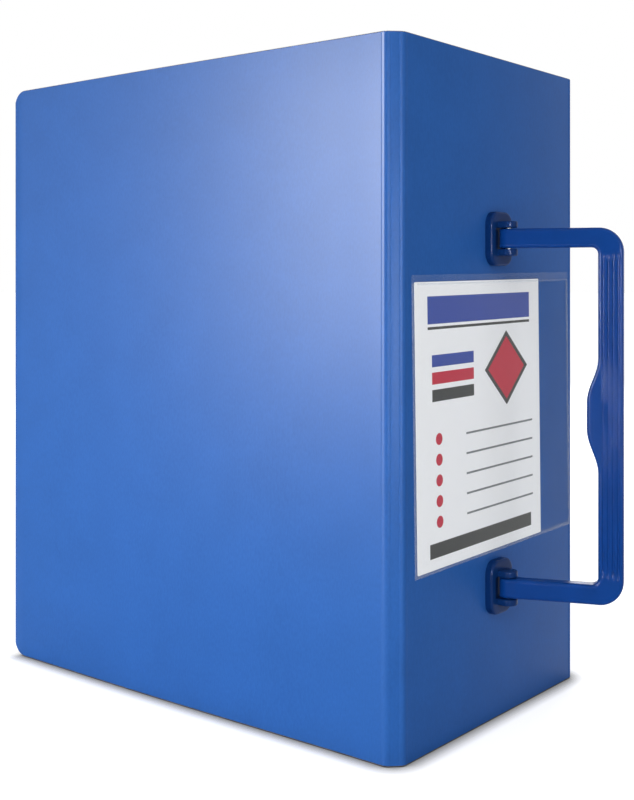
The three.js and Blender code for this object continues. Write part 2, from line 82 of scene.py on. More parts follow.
# Points closer than this, in metres, are one point, in a new mesh and in a frame node's.
MERGE_NEW = 1e-6
MERGE_NODE = 2e-6
# Faces of a frame node within this angle of one another, in degrees, are one flat face.
FLAT_ANGLE = 1.0
# Nearly all of a noise lies between these values. A fine noise has one octave more.
NOISE_LOW, NOISE_HIGH = 0.3, 0.7
COARSE, FINE = 2.0, 3.0


class Side(Enum):
    """The two covers. The value is the direction along Y in which a cover faces outwards."""

    FRONT = -1
    BACK = 1

    @property
    def word(self) -> str:
        """The side as the names of the frame's nodes and bodies start."""
        return self.name.lower()


class Level(Enum):
    """The lower and the upper one of two pieces. The value is the direction along Z."""

    LOWER = -1
    UPPER = 1

    @property
    def word(self) -> str:
        """The level as the names of the frame's nodes start."""
        return self.name.lower()


def box_mm(node: str) -> np.ndarray:
    """Gives a frame node's low and high corner, 2 x 3, in millimetres."""
    return np.array(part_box(node)) / MM


# Node trees


def linear(code: str) -> tuple[float, float, float, float]:
    """Turns an sRGB hex colour into linear values.

    Args:
        code: the colour as "#RRGGBB".

    Returns:
        Red, green, blue and an alpha of 1.
    """
    srgb = np.array([int(code[i : i + 2], 16) for i in (1, 3, 5)]) / 255
    flat = np.where(srgb <= 0.04045, srgb / 12.92, ((srgb + 0.055) / 1.055) ** 2.4)
    red, green, blue = flat.tolist()
    return red, green, blue, 1.0


def add(
    tree: bpy.types.NodeTree,
    kind: str,
    settings: dict[str, object] | None = None,
    **inputs: object,
) -> bpy.types.Node:
    """Adds a node with its settings and inputs.

    Args:
        tree: the node tree.
        kind: the node's type without its "ShaderNode".
        settings: attributes to set on the node.
        **inputs: a socket's name in lower case with underscores, or i0, i1 for its index.
            An output socket, or a node by its first output, is linked to it. Anything else
            is its value.

    Returns:
        The new node.
    """
    node = tree.nodes.new("ShaderNode" + kind)
    for name, value in (settings or {}).items():
        setattr(node, name, value)
    by_name = {s.name.lower().replace(" ", "_"): s for s in reversed(node.inputs)}
    for name, value in inputs.items():
        socket = node.inputs[int(name[1:])] if name[1:].isdigit() else by_name[name]
        source = value.outputs[0] if isinstance(value, bpy.types.Node) else value
        if isinstance(source, bpy.types.NodeSocket):
            tree.links.new(source, socket)
        else:
            socket.default_value = source
    return node


def new_tree(name: str) -> tuple[bpy.types.Material, bpy.types.NodeTree]:
    """Makes an empty node material.

    Args:
        name: the material's name.

    Returns:
        The material and its cleared node tree.
    """
    material = bpy.data.materials.new(name)
    material.use_nodes = True
    material.node_tree.nodes.clear()
    return material, material.node_tree


def grain(
    tree: bpy.types.NodeTree,
    size: float,
    detail: float = COARSE,
    stretch: tuple[float, float, float] = (1.0, 1.0, 1.0),
) -> bpy.types.Node:
    """Adds noise on the piece's own coordinates.

    Args:
        tree: the node tree.
        size: the width of one grain, in millimetres.
        detail: the noise's octaves.
        stretch: factors on the frequency along X, Y and Z.

    Returns:
        The noise's node, whose first output runs from 0 to 1.
    """
    place = add(tree, "TexCoord").outputs["Object"]
    turned = add(tree, "Mapping", vector=place, scale=stretch)
    return add(tree, "TexNoise", vector=turned, scale=1 / (size * MM), detail=detail)


# Finishes. Grains, streaks, ripples and the heights of bumps are millimetres.


@dataclass(frozen=True)
class LaminatedBoard:
    """Grey board under a printed polypropylene film, with paper on the inside.

    The film gives a soft wide sheen with fine upright streaks, and the guillotined edges
    show the brownish grey core, worn a little past the edge. The material reads two
    attributes of the mesh: cut, from 0 on the faces to 1 on the cut edges, and lining, 1 on
    the inner face.
    """

    name: str = "laminated_board"
    film: str = "#26579D"
    core: str = "#8A8279"
    lining: str = "#B4BAC4"
    ior: float = 1.49
    reflection: float = 0.045
    roughness: float = 0.36
    roughness_spread: float = 0.04
    bare_roughness: float = 0.4
    # The film's real streaks are about 0.1 mm wide. They are drawn coarser, so that they show.
    streak: float = 0.8
    upright: tuple[float, float, float] = (1.0, 1.0, 0.4)
    streak_change: float = 0.06
    streak_height: float = 0.1
    bump: float = 0.1
    cloud: float = 26.0
    cloud_change: float = 0.04
    # The core's fibres, also drawn coarser than they are, and the chips along a worn edge.
    fibre: float = 0.5
    fibre_shades: tuple[float, float] = (0.75, 1.2)
    chip: float = 1.4
    wear: float = 0.45
    bare_from: float = 0.45
    bare_full: float = 0.8
    lined_from: float = 0.75

    def material(self) -> bpy.types.Material:
        """Makes the material.

        Returns:
            The material.
        """
        material, tree = new_tree(self.name)
        streaks = grain(tree, self.streak, FINE, self.upright)
        cloud = grain(tree, self.cloud, FINE)
        chips = grain(tree, self.chip, FINE)
        cut = add(tree, "Attribute", {"attribute_name": "cut"}).outputs["Fac"]
        reach = add(
            tree, "Math", {"operation": "MULTIPLY_ADD"}, i0=chips, i1=self.wear, i2=cut
        )
        bare = add(
            tree, "MapRange", {"interpolation_type": "SMOOTHSTEP"},
            value=reach, from_min=self.bare_from, from_max=self.bare_full,
        )
        inner = add(tree, "Attribute", {"attribute_name": "lining"}).outputs["Fac"]
        lined = add(tree, "Math", {"operation": "GREATER_THAN"}, i0=inner, i1=self.lined_from)
        shades = [
            add(
                tree, "MapRange", value=noise, from_min=NOISE_LOW, from_max=NOISE_HIGH,
                to_min=1 - change, to_max=1 + change,
            )
            for noise, change in ((cloud, self.cloud_change), (streaks, self.streak_change))
        ]
        shade = add(tree, "Math", {"operation": "MULTIPLY"}, i0=shades[0], i1=shades[1])
        film = add(tree, "HueSaturation", value=shade, color=linear(self.film))
        paper = add(tree, "HueSaturation", value=shade, color=linear(self.lining))
        dark, pale = self.fibre_shades
        fibre = add(
            tree, "MapRange", value=grain(tree, self.fibre, FINE, self.upright),
            to_min=dark, to_max=pale,
        )
        core = add(tree, "HueSaturation", value=fibre, color=linear(self.core))
        faces = add(tree, "Mix", {"data_type": "RGBA"}, i0=lined, i6=film, i7=paper).outputs[2]
        colour = add(tree, "Mix", {"data_type": "RGBA"}, i0=bare, i6=faces, i7=core).outputs[2]
        dull = add(tree, "Math", {"operation": "MAXIMUM"}, i0=bare, i1=lined)
        gloss = add(
            tree, "MapRange", value=streaks,
            to_min=self.roughness - self.roughness_spread,
            to_max=self.roughness + self.roughness_spread,
        )
        rough = add(
            tree, "Math", {"operation": "MULTIPLY_ADD"}, i0=dull, i1=self.bare_roughness, i2=gloss
        )
        bump = add(
            tree, "Bump", strength=self.bump, distance=self.streak_height * MM, height=streaks
        )
        shader = add(
            tree, "BsdfPrincipled", base_color=colour, roughness=rough, ior=self.ior,
            specular_ior_level=self.reflection, normal=bump,
        )
        add(tree, "OutputMaterial", surface=shader)
        return material


@dataclass(frozen=True)
class MouldedPlastic:
    """Semi-gloss injection moulded polypropylene, or polyamide on the levers.

    The polished mould gives it sharp highlights, which its shrinkage ripples faintly.
    """

    name: str = "moulded_polypropylene"
    colour: str = "#0B3A80"
    roughness: float = 0.17
    reflection: float = 0.05
    ripple: float = 4.0
    ripple_height: float = 0.06
    bump: float = 0.2
    ior: float = 1.49
    cloud: float = 12.0
    cloud_change: float = 0.05
    haze: float = 1.6
    haze_range: tuple[float, float] = (-0.04, 0.06)

    def material(self) -> bpy.types.Material:
        """Makes the material.

        Returns:
            The material.
        """
        material, tree = new_tree(self.name)
        tint = add(
            tree, "MapRange", value=grain(tree, self.cloud),
            from_min=NOISE_LOW, from_max=NOISE_HIGH,
            to_min=1 - self.cloud_change, to_max=1 + self.cloud_change,
        )
        colour = add(tree, "HueSaturation", value=tint, color=linear(self.colour))
        low, high = (self.roughness + change for change in self.haze_range)
        rough = add(
            tree, "MapRange", value=grain(tree, self.haze, FINE), to_min=low, to_max=high
        )
        bump = add(
            tree, "Bump", strength=self.bump, distance=self.ripple_height * MM,
            height=grain(tree, self.ripple),
        )
        shader = add(
            tree, "BsdfPrincipled", base_color=colour, roughness=rough, ior=self.ior,
            specular_ior_level=self.reflection, normal=bump,
        )
        add(tree, "OutputMaterial", surface=shader)
        return material


@dataclass(frozen=True)
class PlatedSteel:
    """Nickel-plated steel, rolled or drawn along one axis.

    The fine streaks of that stretch its reflections, and the plating is a little uneven.
    """

    name: str = "nickel_plated_steel"
    colour: str = "#AEB0B3"
    roughness: float = 0.3
    streak: float = 0.8
    stretch: tuple[float, float, float] = (1.0, 1.0, 0.03)
    streak_height: float = 0.02
    bump: float = 0.15
    roughness_spread: float = 0.1
    cloud: float = 14.0
    cloud_shades: tuple[float, float] = (0.86, 1.08)

    def material(self) -> bpy.types.Material:
        """Makes the material.

        Returns:
            The material.
        """
        material, tree = new_tree(self.name)
        streaks = grain(tree, self.streak, FINE, self.stretch)
        dark, pale = self.cloud_shades
        tint = add(
            tree, "MapRange", value=grain(tree, self.cloud, FINE), to_min=dark, to_max=pale
        )
        colour = add(tree, "HueSaturation", value=tint, color=linear(self.colour))
        rough = add(
            tree, "MapRange", value=streaks,
            to_min=self.roughness - self.roughness_spread,
            to_max=self.roughness + self.roughness_spread,
        )
        bump = add(
            tree, "Bump", strength=self.bump, distance=self.streak_height * MM, height=streaks
        )
        shader = add(
            tree, "BsdfPrincipled", base_color=colour, metallic=1.0, roughness=rough, normal=bump
        )
        add(tree, "OutputMaterial", surface=shader)
        return material


@dataclass(frozen=True)
class ClearFilm:
    """Soft clear calendered vinyl film.

    It veils what lies under it a little and unevenly, and its welds are paler. The material
    reads the mesh's weld attribute, from 0 in the open film to 1 on a weld.
    """

    name: str = "clear_vinyl"
    colour: str = "#C9D2E6"
    veil: float = 0.005
    weld_veil: float = 0.16
    roughness: float = 0.14
    ior: float = 1.53
    cloud: float = 22.0
    cloud_change: float = 0.4
    wave: float = 30.0
    wave_height: float = 0.4
    bump: float = 0.25

    def material(self) -> bpy.types.Material:
        """Makes the material.

        Returns:
            The material.
        """
        material, tree = new_tree(self.name)
        weld = add(tree, "Attribute", {"attribute_name": "weld"}).outputs["Fac"]
        cloud = add(
            tree, "MapRange", value=grain(tree, self.cloud),
            to_min=1 - self.cloud_change, to_max=1 + self.cloud_change,
        )
        veil = add(tree, "MapRange", value=weld, to_min=self.veil, to_max=self.weld_veil)
        alpha = add(tree, "Math", {"operation": "MULTIPLY"}, i0=veil, i1=cloud)
        bump = add(
            tree, "Bump", strength=self.bump, distance=self.wave_height * MM,
            height=grain(tree, self.wave),
        )
        shader = add(
            tree, "BsdfPrincipled", base_color=linear(self.colour), roughness=self.roughness,
            ior=self.ior, alpha=alpha, normal=bump,
        )
        add(tree, "OutputMaterial", surface=shader)
        return material


class MotifShape(Enum):
    """The plain shapes that the card is printed with."""

    BAR = "bar"
    DIAMOND = "diamond"
    DISC = "disc"


@dataclass(frozen=True)
class Motif:
    """One printed shape. Its place is measured from the card's centre."""

    shape: MotifShape
    across: float
    up: float
    half_width: float
    half_height: float
    ink: str

    def mask(
        self, tree: bpy.types.NodeTree, u: bpy.types.Node, v: bpy.types.Node
    ) -> bpy.types.Node:
        """Adds the nodes of this shape's mask.

        With a and b the distances from its centre as shares of its half sizes, a bar is
        where the larger is under 1, a diamond where the sum is, and a disc where the sum of
        the squares is.

        Args:
            tree: the node tree.
            u: the place across the card, in millimetres.
            v: the place up the card, in millimetres.

        Returns:
            A node whose output is 1 inside the shape.
        """
        power = 2.0 if self.shape is MotifShape.DISC else 1.0
        shares = []
        for place, centre, half in (
            (u, self.across, self.half_width),
            (v, self.up, self.half_height),
        ):
            off = add(tree, "Math", {"operation": "SUBTRACT"}, i0=place, i1=centre)
            share = add(tree, "Math", {"operation": "DIVIDE"}, i0=off, i1=half)
            size = add(tree, "Math", {"operation": "ABSOLUTE"}, i0=share)
            shares.append(add(tree, "Math", {"operation": "POWER"}, i0=size, i1=power))
        join = "MAXIMUM" if self.shape is MotifShape.BAR else "ADD"
        both = add(tree, "Math", {"operation": join}, i0=shares[0], i1=shares[1])
        return add(tree, "Math", {"operation": "LESS_THAN"}, i0=both, i1=1.0)


# The card's inks and its paper.
RED = "#B81E38"
DARK = "#2C2E2C"
BLUE = "#284296"
GREY = "#6B7173"
WHITE = "#F6F8FA"
# The card's rows of rules and discs.
ROWS = 5
FIRST_ROW = -6.0
ROW_PITCH = 9.0


def card_motifs() -> tuple[Motif, ...]:
    """Lays out the card's generic print: a banner, a diamond, bars, rules and discs.

    Returns:
        The motifs. Each is printed over those before it.
    """
    rows = [FIRST_ROW - ROW_PITCH * i for i in range(ROWS)]
    return (
        Motif(MotifShape.BAR, 0.0, 50.0, 44.0, 6.0, BLUE),
        Motif(MotifShape.BAR, 0.0, 42.2, 44.0, 0.6, DARK),
        Motif(MotifShape.DIAMOND, 22.0, 21.0, 19.5, 17.5, DARK),
        Motif(MotifShape.DIAMOND, 22.0, 21.0, 16.5, 14.8, RED),
        Motif(MotifShape.BAR, -24.0, 28.0, 17.0, 2.6, BLUE),
        Motif(MotifShape.BAR, -24.0, 20.5, 17.0, 2.6, RED),
        Motif(MotifShape.BAR, -24.0, 13.0, 17.0, 2.6, DARK),
        *(Motif(MotifShape.BAR, 16.0, row, 30.0, 0.45, GREY) for row in rows),
        *(Motif(MotifShape.DISC, -36.0, row, 2.6, 2.6, RED) for row in rows),
        Motif(MotifShape.BAR, 0.0, -54.0, 44.0, 3.2, DARK),
    )


@dataclass(frozen=True)
class PrintedCard:
    """Smooth white card, offset printed, so its inks lie flat in the sheet."""

    name: str = "printed_card"
    paper: str = WHITE
    roughness: float = 0.5
    ior: float = 1.5
    # The paper's fibres, drawn coarser than they are.
    fibre: float = 1.2
    fibre_change: float = 0.03
    motifs: tuple[Motif, ...] = field(default_factory=card_motifs)

    def material(self, centre: np.ndarray, tilt: float) -> bpy.types.Material:
        """Makes the material.

        Args:
            centre: the card's centre in the frame, in millimetres.
            tilt: how far the card is turned, in radians, its +Y end upwards.

        Returns:
            The material.
        """
        material, tree = new_tree(self.name)
        place = add(tree, "TexCoord").outputs["Object"]
        along = np.array([0.0, math.cos(tilt), math.sin(tilt)])
        up = np.array([0.0, -math.sin(tilt), math.cos(tilt)])
        axes = []
        for axis in (along, up):
            dot = add(
                tree, "VectorMath", {"operation": "DOT_PRODUCT"}, i0=place, i1=tuple(axis / MM)
            ).outputs["Value"]
            start = float(centre @ axis)
            axes.append(add(tree, "Math", {"operation": "SUBTRACT"}, i0=dot, i1=start))
        fibre = add(
            tree, "MapRange", value=grain(tree, self.fibre, FINE),
            to_min=1 - self.fibre_change, to_max=1 + self.fibre_change,
        )
        colour = add(tree, "HueSaturation", value=fibre, color=linear(self.paper)).outputs[0]
        for motif in self.motifs:
            mask, ink = motif.mask(tree, *axes), linear(motif.ink)
            colour = add(
                tree, "Mix", {"data_type": "RGBA"}, i0=mask, i6=colour, i7=ink
            ).outputs[2]
        shader = add(
            tree, "BsdfPrincipled", base_color=colour, roughness=self.roughness, ior=self.ior
        )
        add(tree, "OutputMaterial", surface=shader)
        return material


# Meshes


def new_object(name: str, mesh: bpy.types.Mesh, material: bpy.types.Material) -> bpy.types.Object:
    """Puts a mesh with one material in the scene, unturned at the origin.

    Args:
        name: the object's name.
        mesh: its mesh.
        material: its only material.

    Returns:
        The new object.
    """
    piece = bpy.data.objects.new(name, mesh)
    mesh.materials.clear()
    mesh.materials.append(material)
    bpy.context.scene.collection.objects.link(piece)
    return piece


def lofted(
    name: str,
    shells: Iterable[np.ndarray],
    material: bpy.types.Material,
    smooth: float = 35.0,
    marks: dict[str, np.ndarray] | None = None,
) -> bpy.types.Object:
    """Makes a piece of closed shells, each lofted through its rings.

    Quads join each ring to the next one and each point to the next round the ring, and one
    flat face closes the first and the last ring.

    Args:
        name: the piece's name.
        shells: for each shell the rings' points in millimetres, rings x points x 3.
        material: the piece's material.
        smooth: the angle in degrees up to which edges are shaded round.
        marks: the names and values of point attributes, one value for each point.

    Returns:
        The new piece.
    """
    points: list[np.ndarray] = []
    faces: list[list[int]] = []
    start = 0
    for rings in shells:
        rows, count, _ = rings.shape
        index = start + np.arange(rows * count).reshape(rows, count)
        ahead = np.roll(index, -1, axis=1)
        quads = np.stack([index[:-1], ahead[:-1], ahead[1:], index[1:]], axis=-1)
        faces += quads.reshape(-1, 4).tolist()
        faces += [index[0, ::-1].tolist(), index[-1].tolist()]
        points.append(rings.reshape(-1, 3) * MM)
        start += rows * count
    mesh = bpy.data.meshes.new(name)
    mesh.from_pydata(np.concatenate(points).tolist(), [], faces)
    for mark, values in (marks or {}).items():
        layer = mesh.attributes.new(mark, "FLOAT", "POINT")
        layer.data.foreach_set("value", np.ravel(values).astype(np.float32))
    turn_outwards(mesh)
    mesh.set_sharp_from_angle(angle=math.radians(smooth))
    return new_object(name, mesh, material)


def turn_outwards(mesh: bpy.types.Mesh) -> None:
    """Merges a mesh's doubled points and turns its faces outwards.

    Args:
        mesh: a mesh of closed shells.
    """
    work = bmesh.new()
    work.from_mesh(mesh)
    bmesh.ops.remove_doubles(work, verts=work.verts, dist=MERGE_NEW)
    bmesh.ops.recalc_face_normals(work, faces=work.faces)
    work.to_mesh(mesh)
    work.free()


def unite(piece: bpy.types.Object, other: bpy.types.Object, smooth: float) -> None:
    """Joins a second piece's solids to a first piece, and removes the second piece.

    Args:
        piece: the piece that becomes the union.
        other: the piece that goes into it.
        smooth: the angle in degrees up to which edges are shaded round.
    """
    join = piece.modifiers.new("join", "BOOLEAN")
    join.operation = "UNION"
    join.solver = "EXACT"
    join.object = other
    whole = piece.evaluated_get(bpy.context.evaluated_depsgraph_get())
    mesh = bpy.data.meshes.new_from_object(whole)
    piece.modifiers.clear()
    piece.data = mesh
    turn_outwards(mesh)
    mesh.set_sharp_from_angle(angle=math.radians(smooth))
    bpy.data.objects.remove(other)


def finished_copy(
    node: bpy.types.Object, material: bpy.types.Material, edge: float, smooth: float = 35.0
) -> bpy.types.Object:
    """Copies a frame node as one merged mesh with eased edges and round shading.

    Faces that lie within a degree of one another become one, so that only real edges are
    eased.

    Args:
        node: the frame's node.
        material: the copy's material.
        edge: the width of the eased edges, in millimetres.
        smooth: the angle in degrees up to which edges are shaded round.

    Returns:
        The copy, which replaces the node.
    """
    name = f"{node.name}_finished"
    mesh = node.data.copy()
    mesh.name = name
    work = bmesh.new()
    work.from_mesh(mesh)
    bmesh.ops.remove_doubles(work, verts=work.verts, dist=MERGE_NODE)
    bmesh.ops.dissolve_limit(
        work, angle_limit=math.radians(FLAT_ANGLE), verts=work.verts, edges=work.edges
    )
    work.to_mesh(mesh)
    work.free()
    mesh.set_sharp_from_angle(angle=math.radians(smooth))
    piece = new_object(name, mesh, material)
    if edge > 0:
        ease = piece.modifiers.new("eased_edges", "BEVEL")
        ease.width = edge * MM
        ease.segments = 2
        ease.limit_method = "ANGLE"
        ease.angle_limit = math.radians(smooth)
        ease.harden_normals = True
    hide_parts(node.name)
    return piece


def rounded_outline(
    low: tuple[float, float], high: tuple[float, float], radius: float, arc: int = 8
) -> np.ndarray:
    """Gives a rectangle's outline with round corners, anticlockwise from the lower right.

    Each corner is a quarter circle of arc points, so outlines of any size match by index.

    Args:
        low: the lower left corner.
        high: the upper right corner.
        radius: the corners' radius.
        arc: points in each corner.

    Returns:
        The points, 4 arc x 2.
    """
    turn = np.linspace(0, QUARTER, arc)
    angle = np.concatenate([turn + start * QUARTER for start in (-1, 0, 1, 2)])
    left, right = low[0] + radius, high[0] - radius
    bottom, top = low[1] + radius, high[1] - radius
    x = np.repeat([right, right, left, left], arc)
    y = np.repeat([bottom, top, top, bottom], arc)
    return np.stack([x + radius * np.cos(angle), y + radius * np.sin(angle)], axis=1)


def spread(outline: np.ndarray, fixed: float, axis: int) -> np.ndarray:
    """Puts a flat outline, n x 2, in space at a fixed place along one axis, X, Y or Z."""
    return np.insert(outline, axis, fixed, axis=1)


def bell(off: np.ndarray, width: float) -> np.ndarray:
    """Gives a bell of height 1, exp(-(off / width)^2)."""
    return np.exp(-((off / width) ** 2))


# The case


@dataclass(frozen=True)
class Panel:
    """One board of the case: where its outer face lies and which of its ends are creased."""

    name: str
    body: str
    start: np.ndarray
    along: np.ndarray
    inward: np.ndarray
    run: float
    creased_far: bool = True
    corner: float = 0.0
    bow: float = 0.0


@dataclass
class Case:
    """The creased board case: a spine, two hinge strips, two covers and the film over them."""

    strip_leg: float = 5.7
    thickness: float = 2.0
    gap: float = 0.15
    ease: float = 0.5
    corner: float = 8.0
    bow: float = 1.0
    bow_power: float = 0.7
    flat_run: float = 20.0
    first_section: float = 2.5
    sections: int = 60
    corner_sections: int = 18
    crease_reach: float = 2.2
    crease_round: float = 1.3
    board_round: float = 0.8
    film_thickness: float = 0.09
    film_depth: float = 0.25

    def __post_init__(self) -> None:
        """Reads the case's overall sizes from the frame."""
        spine_high, cover_low = box_mm("spine_panel")[1], box_mm("front_cover")[0]
        self.face = float(spine_high[0])
        self.height = float(spine_high[2])
        self.half = -float(cover_low[1])
        self.cover_run = self.face - self.strip_leg - float(cover_low[0])

    def folds(self, side: Side) -> tuple[np.ndarray, np.ndarray]:
        """Finds the two fold lines of a hinge strip.

        Args:
            side: which cover's strip.

        Returns:
            The foot of the fold line beside the spine and of the one beside the cover.
        """
        out = side.value
        spine = np.array([self.face, out * (self.half - self.strip_leg), 0.0])
        cover = np.array([self.face - self.strip_leg, out * self.half, 0.0])
        return spine, cover

    def panels(self) -> list[Panel]:
        """Lays out the five boards.

        Returns:
            The spine, and for each side its hinge strip and its cover.
        """
        front_fold, _ = self.folds(Side.FRONT)
        along, inward = np.array([0.0, 1.0, 0.0]), np.array([-1.0, 0.0, 0.0])
        width = 2 * (self.half - self.strip_leg)
        boards = [Panel("spine_panel", "spine", front_fold, along, inward, width)]
        slope = math.sqrt(0.5)
        for side in Side:
            out = side.value
            spine, cover = self.folds(side)
            strip, name = f"{side.word}_hinge_strip", f"{side.word}_cover"
            along = np.array([-slope, out * slope, 0.0])
            inward = np.array([-slope, -out * slope, 0.0])
            boards.append(Panel(strip, strip, spine, along, inward, self.strip_leg / slope))
            along, inward = np.array([-1.0, 0.0, 0.0]), np.array([0.0, -out, 0.0])
            free = (self.cover_run, False, self.corner, self.bow)
            boards.append(Panel(name, name, cover, along, inward, *free))
        return boards

    def creased_end(self) -> np.ndarray:
        """Works out the stations at a creased end, whose outer edge is a quarter circle.

        Further in, the end is mitred by the tangent of half the fold.

        Returns:
            For each station the distance from the fold line, how deep the board starts, how
            much its height draws in, and its shear, the mitre's tangent.
        """
        turn = np.linspace(0, QUARTER, 5)
        reach = self.gap + self.board_round * (1 - np.cos(turn))
        inset = self.board_round * (1 - np.sin(turn))
        mitre = math.tan(math.pi / 8)
        return np.column_stack([reach, inset, 0 * turn, np.full(len(turn), mitre)])

    def free_end(self, panel: Panel) -> np.ndarray:
        """Works out a cover's stations from its crease to its free end.

        Args:
            panel: the cover.

        Returns:
            The stations' values, as creased_end gives them.
        """
        end = panel.run - panel.corner
        middle = np.linspace(self.first_section, end, self.sections)
        turn = np.linspace(0, QUARTER, self.corner_sections + 1)[1:]
        reach = np.concatenate([middle, panel.run - panel.corner * (1 - np.sin(turn))])
        draw = np.concatenate([0 * middle, panel.corner * (1 - np.cos(turn))])
        over = np.clip(reach - panel.run + self.ease, 0, self.ease)
        inset = self.ease - np.sqrt(self.ease**2 - over**2)
        return np.column_stack([reach, inset, draw, 0 * reach])

    def loft(self, panel: Panel) -> tuple[np.ndarray, dict[str, np.ndarray]]:
        """Works out a board's rings, each a section across its height and thickness.

        The section is a rectangle with eased corners. At the free end its height follows
        the corners' quarter circles and its thickness a quarter-round. A cover bows
        outwards between its flat run and its free end, by a raised cosine to a power.

        Args:
            panel: the board.

        Returns:
            The points, rings x points x 3, and the values of its cut and lining attributes.
        """
        near = self.creased_end()
        if panel.creased_far:
            far = near[::-1] * [-1, 1, 1, -1] + [panel.run, 0, 0, 0]
        else:
            far = self.free_end(panel)
        stations = np.concatenate([near, far])
        reach, inset, draw, shear = (column[:, None] for column in stations.T)
        section = rounded_outline((0.0, 0.0), (self.height, self.thickness), self.ease, 5)
        level, depth = section.T[:, None]
        on_free_half = (reach > panel.run / 2) & (not panel.creased_far)
        closing = np.where(on_free_half, inset, 0.0)
        deep = inset + depth / self.thickness * (self.thickness - inset - closing)
        up = level - np.sign(level - self.height / 2) * draw
        off = reach + deep * shear
        share = np.clip((reach - self.flat_run) / (panel.run - self.flat_run), 0, 1)
        lift = panel.bow * ((1 - np.cos(2 * math.pi * share)) / 2) ** self.bow_power
        place = (
            panel.start
            + off[..., None] * panel.along
            + up[..., None] * UP
            + (deep - lift)[..., None] * panel.inward
        )
        margin = np.minimum(level, self.height - level) + 0 * reach
        if not panel.creased_far:
            margin = np.minimum(margin, panel.run - reach)
        cut = np.clip(1 - margin / self.ease, 0, 1)
        return place, {"cut": cut, "lining": depth / self.thickness + 0 * reach}

    def build(self, material: bpy.types.Material) -> None:
        """Makes the boards and the film that bends at their creases.

        Args:
            material: the board's material.
        """
        panels = {panel.name: panel for panel in self.panels()}
        for panel in panels.values():
            rings, marks = self.loft(panel)
            piece = lofted(f"{panel.name}_board", [rings], material, marks=marks)
            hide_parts(panel.name)
            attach(piece, panel.body)
            log.info("board %s", piece.name)
        for side in Side:
            strip = panels[f"{side.word}_hinge_strip"]
            cover = panels[f"{side.word}_cover"]
            spine = panels["spine_panel"]
            to_middle = np.array([0.0, -float(side.value), 0.0])
            self.crease(f"{side.word}_spine_crease", spine, to_middle, strip, material)
            self.crease(f"{side.word}_cover_crease", strip, -strip.along, cover, material)

    def crease(
        self,
        name: str,
        first: Panel,
        back: np.ndarray,
        second: Panel,
        material: bpy.types.Material,
    ) -> None:
        """Makes the film over one crease.

        Its section runs along the first board, round the fold on a quadratic curve whose
        control point is the fold line, and along the second board.

        Args:
            name: the crease's name.
            first: the board nearer the spine's middle.
            back: the direction from the fold into the first board.
            second: the board further from it, which starts at the fold.
            material: the board's material.
        """
        fold = second.start
        reach = np.linspace(self.crease_reach, self.crease_round, 4)[:-1, None]
        turn = np.linspace(0, 1, 13)[:, None]
        near = fold + back * self.crease_round
        far = fold + second.along * self.crease_round
        curve = (1 - turn) ** 2 * near + 2 * turn * (1 - turn) * fold + turn**2 * far
        section = np.concatenate([fold + reach * back, curve, fold + reach[::-1] * second.along])
        out = np.cross(np.gradient(section, axis=0), UP)
        out /= np.linalg.norm(out, axis=1, keepdims=True)
        out *= np.sign((out * -(first.inward + second.inward)).sum(axis=1, keepdims=True))
        step = np.arange(len(section))
        lift = np.minimum(np.minimum(step, step[::-1]), 1)[:, None]
        outer = section + out * self.film_thickness * lift
        inner = section - out * self.film_depth
        heights = np.array([self.ease, self.height - self.ease])
        rings = np.concatenate([outer, inner[::-1]]) + heights[:, None, None] * UP
        lining = np.repeat([0.0, 1.0], len(section)) + np.zeros((len(heights), 1))
        marks = {"cut": 0 * lining, "lining": lining}
        piece = lofted(f"{name}_film", [rings], material, marks=marks)
        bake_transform(piece)
        log.info("film %s", piece.name)


# The label


